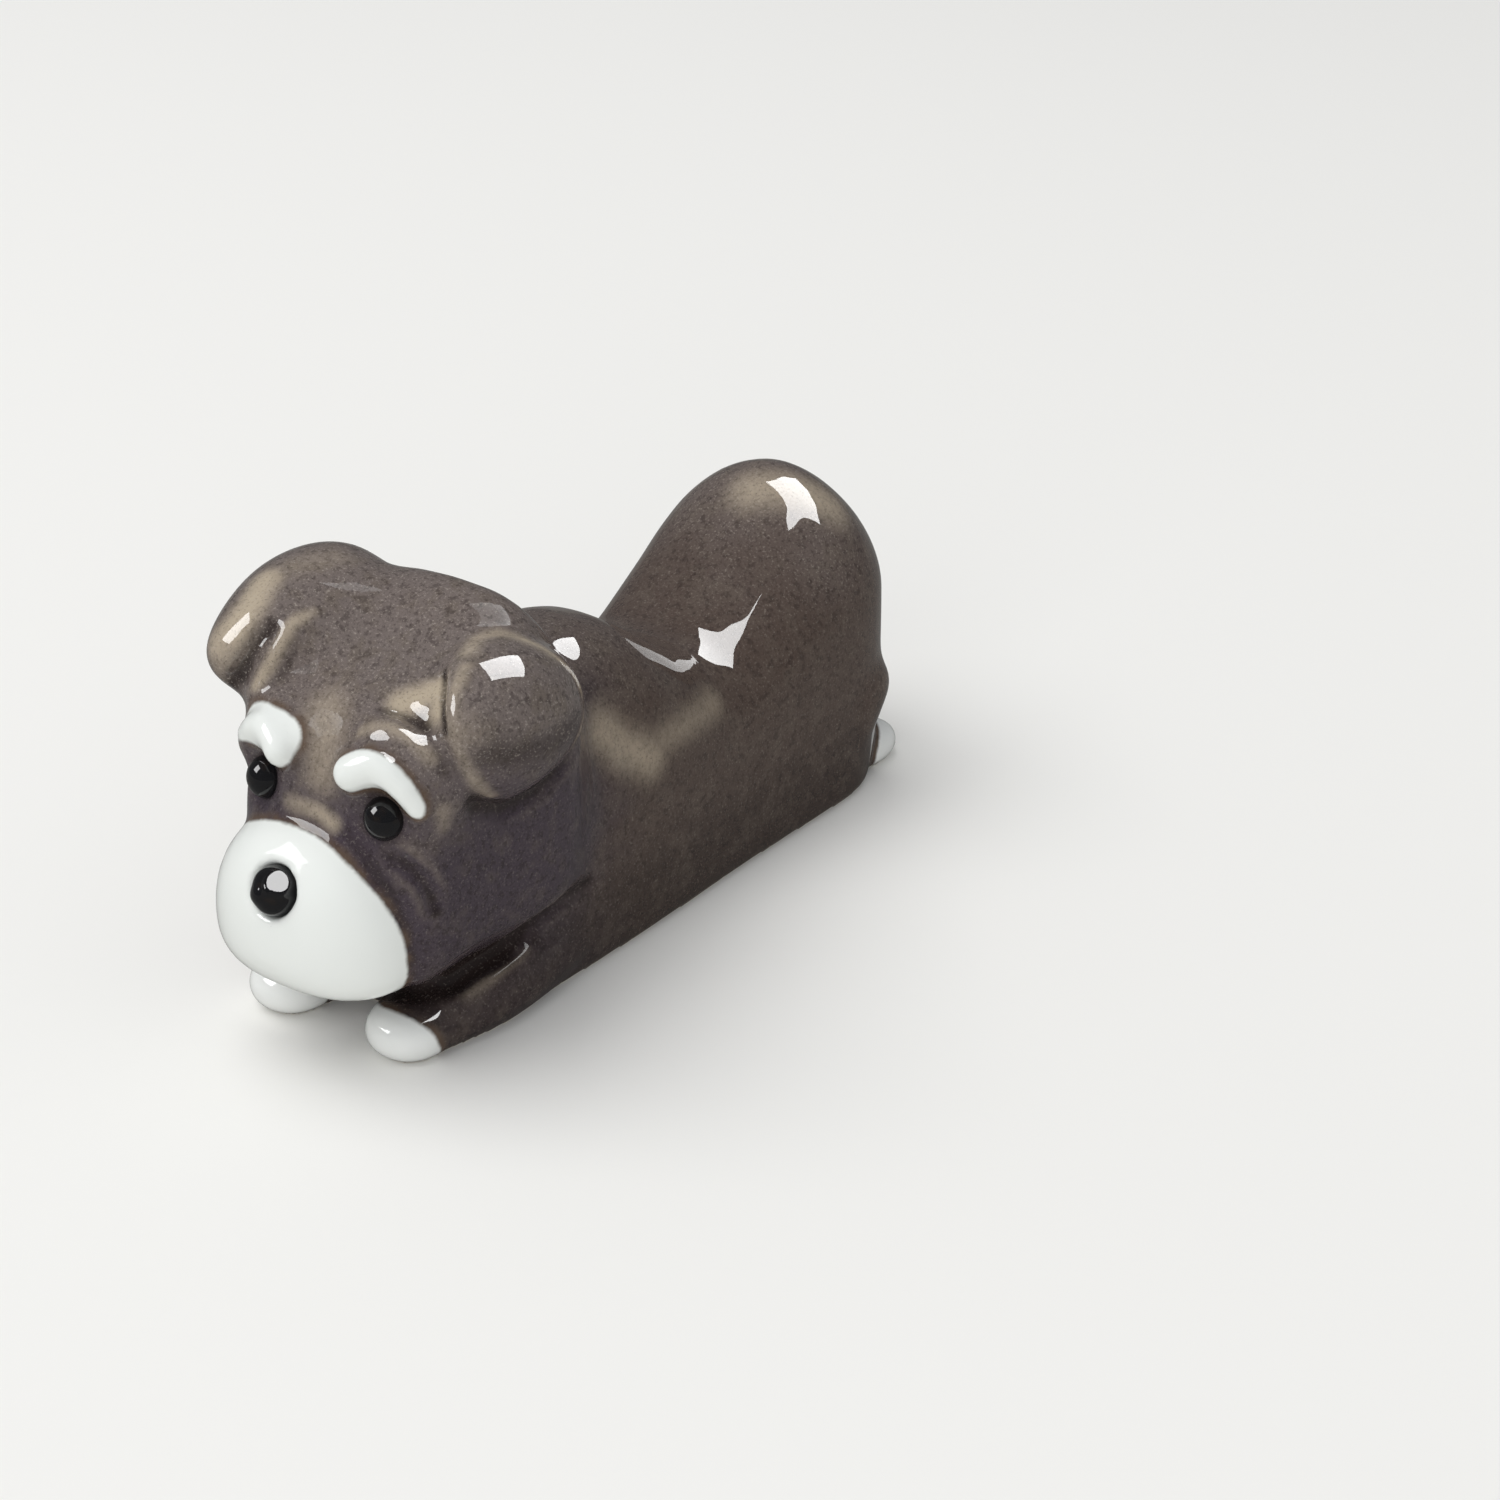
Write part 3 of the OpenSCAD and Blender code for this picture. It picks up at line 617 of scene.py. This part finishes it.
def dress(obj, clay):
    """Gives a lump the smooth normals and the layers of the fused clay."""
    mesh = obj.data
    mesh.validate()
    points = points_of(mesh)
    same = np.array([clay.index.get(key, -1) for key in clay.keys(points)])
    skin = same >= 0
    normals, layers = clay.normals[same], clay.layers[same]
    for i in np.nonzero(~skin)[0]:
        normals[i], layers[i], distance = clay.look_up(Vector(points[i]))
        skin[i] = distance < SKIN
    for name, values in zip(clay.LAYERS, layers.T):
        set_attribute(mesh, name, values)
    normals /= np.maximum(np.linalg.norm(normals, axis=1), 1e-9)[:, None]
    corners = np.empty(len(mesh.loops), np.int32)
    mesh.loops.foreach_get("vertex_index", corners)
    flat, sides = np.empty(len(mesh.polygons) * 3, np.float32), np.empty(len(mesh.polygons), np.int32)
    mesh.polygons.foreach_get("normal", flat)
    mesh.polygons.foreach_get("loop_total", sides)
    flat = np.repeat(flat.reshape(-1, 3), sides, axis=0)
    # The faces where a lump was cut off keep their own normals
    outside = skin[corners] & ((normals[corners] * flat).sum(1) > SKIN_FACING)
    mesh.shade_smooth()
    mesh.normals_split_custom_set(np.where(outside[:, None], normals[corners], flat).tolist())


def set_attribute(mesh, name, values):
    layer = mesh.attributes.new(name, "FLOAT", "POINT")
    layer.data.foreach_set("value", np.asarray(values, np.float32))


def cut_lump(clay_obj, node, sizes, clay):
    """Cuts the clay that belongs to a solid of the frame out of it, as a piece of its own."""
    piece = bpy.data.objects.new(node + "_glazed", clay_obj.data.copy())
    bpy.context.scene.collection.objects.link(piece)
    if node == LUMPS[-1]:
        return piece
    cutter = copy_lump(node, "cutter")
    fuse(cutter, CUTTER_GRAIN)
    swell(cutter, sizes.border)
    smooth(cutter, CUTTER_SMOOTHING)
    if node in WHITE_LUMPS + THIN_WHITE_LUMPS:
        clay.mark_lump(cutter)
    finish_with(piece, "BOOLEAN", operation="INTERSECT", object=cutter, solver="MANIFOLD")
    finish_with(clay_obj, "BOOLEAN", operation="DIFFERENCE", object=cutter, solver="MANIFOLD")
    bpy.data.objects.remove(cutter)
    return piece


# Materials

class Socket:
    """A value in a node tree that can be used in sums, as a + 1 or 1 - a."""

    def __init__(self, paint, output):
        self.paint, self.output = paint, output

    def __add__(self, other):
        return self.paint.maths("ADD", self, other)

    def __radd__(self, other):
        return self.paint.maths("ADD", other, self)

    def __sub__(self, other):
        return self.paint.maths("SUBTRACT", self, other)

    def __rsub__(self, other):
        return self.paint.maths("SUBTRACT", other, self)

    def __mul__(self, other):
        return self.paint.maths("MULTIPLY", self, other)

    def between(self, low, high):
        """Smooth step from 0 at low to 1 at high."""
        return self.paint.node("ShaderNodeMapRange", {"interpolation_type": "SMOOTHSTEP"},
                               {"Value": self, "From Min": low, "From Max": high}, "Result")


class Paint:
    """Node tree of one material."""

    def __init__(self, name):
        self.material = bpy.data.materials.new(name)
        self.material.use_nodes = True
        self.tree = self.material.node_tree
        self.tree.nodes.clear()
        self.shader = self.tree.nodes.new("ShaderNodeBsdfPrincipled")
        output = self.tree.nodes.new("ShaderNodeOutputMaterial")
        self.tree.links.new(self.shader.outputs["BSDF"], output.inputs["Surface"])

    def node(self, kind, settings=None, inputs=None, output=0):
        node = self.tree.nodes.new(kind)
        for key, value in (settings or {}).items():
            setattr(node, key, value)
        for key, value in (inputs or {}).items():
            self.feed(node.inputs[key], value)
        return Socket(self, node.outputs[output])

    def feed(self, socket, value):
        if isinstance(value, Socket):
            self.tree.links.new(value.output, socket)
        elif hasattr(value, "__len__") and socket.type == "RGBA":
            socket.default_value = (*value, 1)
        else:
            socket.default_value = value

    def maths(self, operation, a, b):
        return self.node("ShaderNodeMath", {"operation": operation}, {0: a, 1: b})

    def mix(self, share, a, b):
        """Colour a where share is 0, colour b where it is 1."""
        return self.node("ShaderNodeMix", {"data_type": "RGBA"}, {0: share, 6: a, 7: b}, 2)

    def place(self):
        return self.node("ShaderNodeTexCoord", output="Object")

    def noise(self, size, detail=2.0, roughness=0.5, offset=(0, 0, 0)):
        """Noise with features of about this size, around 0.5."""
        moved = self.node("ShaderNodeVectorMath", {"operation": "ADD"},
                          {0: self.place(), 1: Vector(offset)})
        return self.node("ShaderNodeTexNoise", None,
                         {"Vector": moved, "Scale": 1 / size, "Detail": detail,
                          "Roughness": roughness})

    def attribute(self, name):
        return self.node("ShaderNodeAttribute", {"attribute_name": name}, output="Fac")

    def place_in_mm(self, axis):
        """Place along an axis in millimetres."""
        return self.node("ShaderNodeSeparateXYZ", None, {0: self.place()}, axis) * (1 / MM)

    def coat(self, weight):
        """Clear glaze that alone mirrors, with the coloured glaze below it."""
        self.feed(self.shader.inputs["Coat Weight"], weight)
        self.shader.inputs["Coat Roughness"].default_value = 0.015
        self.shader.inputs["Coat IOR"].default_value = 1.5
        self.shader.inputs["Specular IOR Level"].default_value = 0

    def bump(self, height, distance):
        bump = self.node("ShaderNodeBump", None,
                         {"Strength": 1.0, "Distance": distance, "Height": height}, "Normal")
        self.feed(self.shader.inputs["Normal"], bump)


def glaze(name, colours):
    """Glossy glaze: grey and lighter on top, partly as painted light, white inside the borders of the
    white lumps, thin on edges, darker in creases as pooled glaze and painted shade.

    Places, heights, relief and distances from a border are in millimetres."""
    paint = Paint(name)
    thin, full = paint.attribute("thin"), paint.attribute("full")
    pale, deep = paint.attribute("pale"), paint.attribute("deep")
    cloud = paint.noise(6 * MM, 2, 0.5, (0.01, 0.02, 0.03))
    mottle = paint.noise(1.5 * MM, 3, 0.6)
    grain = paint.noise(0.42 * MM, 2, 0.6, (0.005, 0, 0))
    speck = paint.noise(0.15 * MM, 2, 0.7)
    height = paint.place_in_mm("Z")

    # Grey above, purple on the cheeks, brown behind them: lighter on top, partly as painted light from
    # above, and darker towards the foot as painted shade
    upper = (height + (cloud - 0.5) * 10).between(13, 22)
    low = 1 - (height + (mottle - 0.5) * 6).between(2.5, 8)
    behind = (paint.place_in_mm("Y") + (cloud - 0.5) * 12).between(-11, -3)
    sides = paint.mix(behind, colours.dusk, colours.loam)
    grey = paint.mix(upper * (1 - behind * 0.35), sides, colours.grey)
    grey = paint.mix(low * 0.7, grey, colours.umber)

    # Blotches; creases darkened, partly as pooled glaze and partly as painted shade; edges where the
    # glaze is thin; pale streaks, partly thin glaze and partly painted highlights; dark streaks, partly
    # pooled glaze and partly painted shade
    grey = paint.mix(mottle.between(0.46, 0.66) * (0.22 + upper * 0.3), grey, colours.taupe)
    grey = paint.mix((1 - grain.between(0.33, 0.5)) * 0.4, grey, colours.brown)
    # Folds and creases: pooled glaze and painted shade
    fold = (0.0 - full).between(0.04, 0.5)
    crease = (0.0 - thin).between(0.012, 0.06)
    grey = paint.mix(fold * 0.6, grey, colours.umber)
    grey = paint.mix(crease * 0.7, grey, colours.brown)
    edge = (thin + (grain - 0.5) * 0.02).between(0.01, 0.07)
    grey = paint.mix(edge * 0.22, grey, colours.beige)
    # Pale streaks: thin glaze and painted highlights
    grey = paint.mix((pale + (grain - 0.5) * 0.5 * pale).between(0, 1), grey, colours.beige)
    # Dark streaks: pooled glaze, painted shade and painted shadow
    grey = paint.mix((deep + (grain - 0.5) * 0.3 * deep).between(0, 1), grey, colours.brown)
    grey = paint.mix((1 - speck.between(0.3, 0.45)) * 0.4, grey, colours.brown)
    grey = paint.mix(speck.between(0.56, 0.72) * (0.16 + upper * 0.3), grey, colours.glint)

    # White on its side of the border, which is a little ragged, with a brown halo on the grey side
    ragged = paint.noise(0.55 * MM, 2, 0.6) - 0.5
    white_side = paint.attribute("white") + ragged * 0.16
    above_paws = height.between(3.5, 4.2)
    white = paint.mix(above_paws, colours.thin_white, colours.white)
    # Strong dark streaks turn the white brown: the painted shadow of the gap between cheek and foreleg
    # where it meets the white lumps, and the pinhole under the nose
    white = paint.mix(deep.between(0.7, 0.95), white, colours.brown)
    halo = white_side.between(-0.65, -0.1) * mottle.between(0.3, 0.6)
    bleed = paint.mix(halo * 0.8, grey, colours.rust)
    colour = paint.mix(white_side.between(-0.13, 0.2), bleed, white)

    # No glaze where the foot stands on the table
    facing = paint.node("ShaderNodeNewGeometry", output="Normal")
    facing_up = paint.node("ShaderNodeSeparateXYZ", None, {0: facing}, "Z")
    bare = (0.0 - facing_up).between(0.7, 0.9) * (1 - height.between(0.05, 0.14))
    colour = paint.mix(bare, colour, colours.foot)
    paint.feed(paint.shader.inputs["Base Color"], colour)
    paint.feed(paint.shader.inputs["Roughness"], 0.05 + bare * 0.7)
    paint.coat((1 - bare) * (1 - paint.attribute("satin")))
    paint.bump(paint.noise(2.6 * MM, 1, 0.4, (0.03, 0.01, 0)) + grain * 0.003, 0.03 * MM)
    return paint.material


def bead_glaze(colours):
    """Black glaze, as glossy as wet."""
    paint = Paint("black_glaze")
    ripple = paint.noise(0.7 * MM, 2, 0.5)
    paint.feed(paint.shader.inputs["Base Color"],
               paint.mix(ripple.between(0.5, 0.75), colours.black, colours.black_ripple))
    paint.feed(paint.shader.inputs["Roughness"], 0.03 + ripple * 0.04)
    paint.coat(1)
    paint.bump(ripple, 0.02 * MM)
    return paint.material


# Stage

def lay_floor(colours):
    deselect()
    bpy.ops.mesh.primitive_plane_add(size=6, location=(0, 0, 0))
    floor = bpy.context.object
    floor.name = "floor"
    paint = Paint("pale_floor")
    glossy = paint.node("ShaderNodeLightPath", output="Is Glossy Ray")
    paint.feed(paint.shader.inputs["Base Color"],
               paint.mix(glossy, colours.floor, colours.mirrored_floor))
    paint.shader.inputs["Roughness"].default_value = 1
    paint.shader.inputs["Specular IOR Level"].default_value = 0
    floor.data.materials.append(paint.material)


def hang_lamp(stage, name, way, distance, mirrored):
    """Hangs a square lamp that is only seen in the glaze, or one that only lights it."""
    target = Vector(LIT_PLACE)
    bpy.ops.object.light_add(type="AREA", location=target + Vector(way).normalized() * distance)
    lamp = bpy.context.object
    lamp.name = name
    lamp.data.shape = "SQUARE"
    lamp.data.size = getattr(stage, name + "_size")
    lamp.data.energy = getattr(stage, name + "_power")
    lamp.visible_glossy, lamp.visible_diffuse = mirrored, not mirrored
    lamp.rotation_euler = (target - lamp.location).to_track_quat("-Z", "Y").to_euler()


def light_room(stage):
    """Lights the room from all round; the glaze mirrors it weaker than it lights."""
    world = bpy.data.worlds.new("room")
    bpy.context.scene.world = world
    world.use_nodes = True
    background = world.node_tree.nodes["Background"]
    background.inputs["Color"].default_value = (0.95, 0.97, 1, 1)
    ray = world.node_tree.nodes.new("ShaderNodeLightPath")
    strength = world.node_tree.nodes.new("ShaderNodeMix")
    strength.inputs[2].default_value, strength.inputs[3].default_value = stage.room, stage.mirrored
    world.node_tree.links.new(ray.outputs["Is Glossy Ray"], strength.inputs[0])
    world.node_tree.links.new(strength.outputs[0], background.inputs["Strength"])


def set_camera(stage):
    camera = bpy.data.objects.new("camera", bpy.data.cameras.new("camera"))
    bpy.context.scene.collection.objects.link(camera)
    bpy.context.scene.camera = camera
    camera.data.sensor_width = 36
    camera.data.lens = stage.lens
    camera.data.clip_start, camera.data.clip_end = 0.005, 20
    a, e = stage.azimuth, stage.elevation
    back = Vector((math.sin(a) * math.cos(e), -math.cos(a) * math.cos(e), math.sin(e)))
    camera.location = Vector(stage.look_at) + back * stage.distance
    camera.rotation_mode = "QUATERNION"
    camera.rotation_quaternion = (-back).to_track_quat("-Z", "Y")


# Operators

class PressClay(bpy.types.Operator):
    """Press the lumps of the frame together, fill the creases between them and smooth the clay"""
    bl_idname = "rest.press_clay"
    bl_label = "Press the clay"

    def execute(self, context):
        sizes = context.scene.rest_clay
        body = []
        for nodes, radius in ((ROUNDED_LUMPS, sizes.fillet), (FINE_LUMPS, sizes.fine_fillet)):
            lumps = [copy_lump(node, node + "_lump") for node in nodes]
            for lump in lumps:
                swell(lump, sizes.overlap)
            pick(*body, *lumps)
            bpy.ops.object.join()
            clay = context.view_layer.objects.active
            fuse(clay, sizes.grain)
            fill_creases(clay, radius, sizes.grain)
            smooth(clay, sizes.smoothing)
            body = [clay]
        clay.name = CLAY
        sponge(clay.data)
        press_marks(clay.data)
        smooth(clay, sizes.smoothing)
        points = points_of(clay.data)
        points[:, 2] = np.where(points[:, 2] < FOOT_HEIGHT, 0, points[:, 2])
        set_points(clay.data, points)
        return {"FINISHED"}


class GlazeLumps(bpy.types.Operator):
    """Cut the clay into its lumps again, face to face, and glaze them"""
    bl_idname = "rest.glaze_lumps"
    bl_label = "Glaze the lumps"

    def execute(self, context):
        sizes, colours = context.scene.rest_clay, context.scene.rest_glaze
        clay_obj = bpy.data.objects[CLAY]
        clay = Clay(clay_obj)
        for node in BEADS:
            finish_with(clay_obj, "BOOLEAN", operation="DIFFERENCE", solver="MANIFOLD",
                        object=bpy.data.objects[node + "_bead"])
        pieces = {node: cut_lump(clay_obj, node, sizes, clay) for node in LUMPS}
        for piece in pieces.values():
            dress(piece, clay)
        slots = {"white_glaze": WHITE_LUMPS, "thin_white_glaze": THIN_WHITE_LUMPS,
                 "grey_glaze": GREY_LUMPS}
        for slot, nodes in slots.items():
            material = glaze(slot, colours)
            for node in nodes:
                piece = pieces[node]
                piece.data.materials.clear()
                piece.data.materials.append(material)
                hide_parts(node)
                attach(piece, "root")
        bpy.data.objects.remove(clay_obj)
        return {"FINISHED"}


class SetBeads(bpy.types.Operator):
    """Set the black beads of the eyes and the nose"""
    bl_idname = "rest.set_beads"
    bl_label = "Set the beads"

    def execute(self, context):
        material = bead_glaze(context.scene.rest_glaze)
        for node in BEADS:
            low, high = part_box(node)
            middle, size = (low + high) / 2, high - low
            deselect()
            bpy.ops.mesh.primitive_uv_sphere_add(segments=64, ring_count=32,
                                                 radius=size.x / 2 * BEAD_SIZE, location=middle)
            bead = context.object
            bead.name = node + "_bead"
            bpy.ops.object.mode_set(mode="EDIT")
            bpy.ops.mesh.select_all(action="SELECT")
            bpy.ops.transform.rotate(value=math.radians(90), orient_axis="X", center_override=middle)
            bpy.ops.transform.resize(value=NOSE_SHAPE if node == "nose" else EYE_SHAPE,
                                     center_override=middle)
            bpy.ops.object.mode_set(mode="OBJECT")
            bpy.ops.object.transform_apply(location=True, rotation=True, scale=True)
            if node == "nose":
                press_facet(bead.data, np.array(middle), size.x / 2)
            bead.data.shade_smooth()
            bead.data.materials.append(material)
            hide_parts(node)
            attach(bead, "root")
        return {"FINISHED"}


class SetStage(bpy.types.Operator):
    """Pale floor, mirrored and soft lamps, the room and the camera"""
    bl_idname = "rest.set_stage"
    bl_label = "Set the stage"

    def execute(self, context):
        stage, colours = context.scene.rest_stage, context.scene.rest_glaze
        lay_floor(colours)
        for lamp in LAMPS:
            hang_lamp(stage, *lamp)
        light_room(stage)
        set_camera(stage)
        context.scene.view_settings.view_transform = "Standard"
        return {"FINISHED"}


OPERATORS = [PressClay, SetBeads, GlazeLumps, SetStage]


class RestPanel(bpy.types.Panel):
    """Steps of the chopstick rest"""
    bl_idname = "VIEW3D_PT_rest"
    bl_label = "Chopstick rest"
    bl_space_type = "VIEW_3D"
    bl_region_type = "UI"
    bl_category = "Rest"

    def draw(self, context):
        for operator in OPERATORS:
            self.layout.operator(operator.bl_idname)
        for group in (context.scene.rest_clay, context.scene.rest_glaze, context.scene.rest_stage):
            for name in group.__annotations__:
                self.layout.prop(group, name)


CLASSES = [ClaySizes, GlazeColours, StageSizes, *OPERATORS, RestPanel]


def register():
    for cls in CLASSES:
        bpy.utils.register_class(cls)
    bpy.types.Scene.rest_clay = bpy.props.PointerProperty(type=ClaySizes)
    bpy.types.Scene.rest_glaze = bpy.props.PointerProperty(type=GlazeColours)
    bpy.types.Scene.rest_stage = bpy.props.PointerProperty(type=StageSizes)


def unregister():
    del bpy.types.Scene.rest_stage, bpy.types.Scene.rest_glaze, bpy.types.Scene.rest_clay
    for cls in reversed(CLASSES):
        bpy.utils.unregister_class(cls)


def main():
    register()
    bpy.ops.rest.press_clay()
    bpy.ops.rest.set_beads()
    bpy.ops.rest.glaze_lumps()
    bpy.ops.rest.set_stage()


if __name__ == "__main__":
    main()
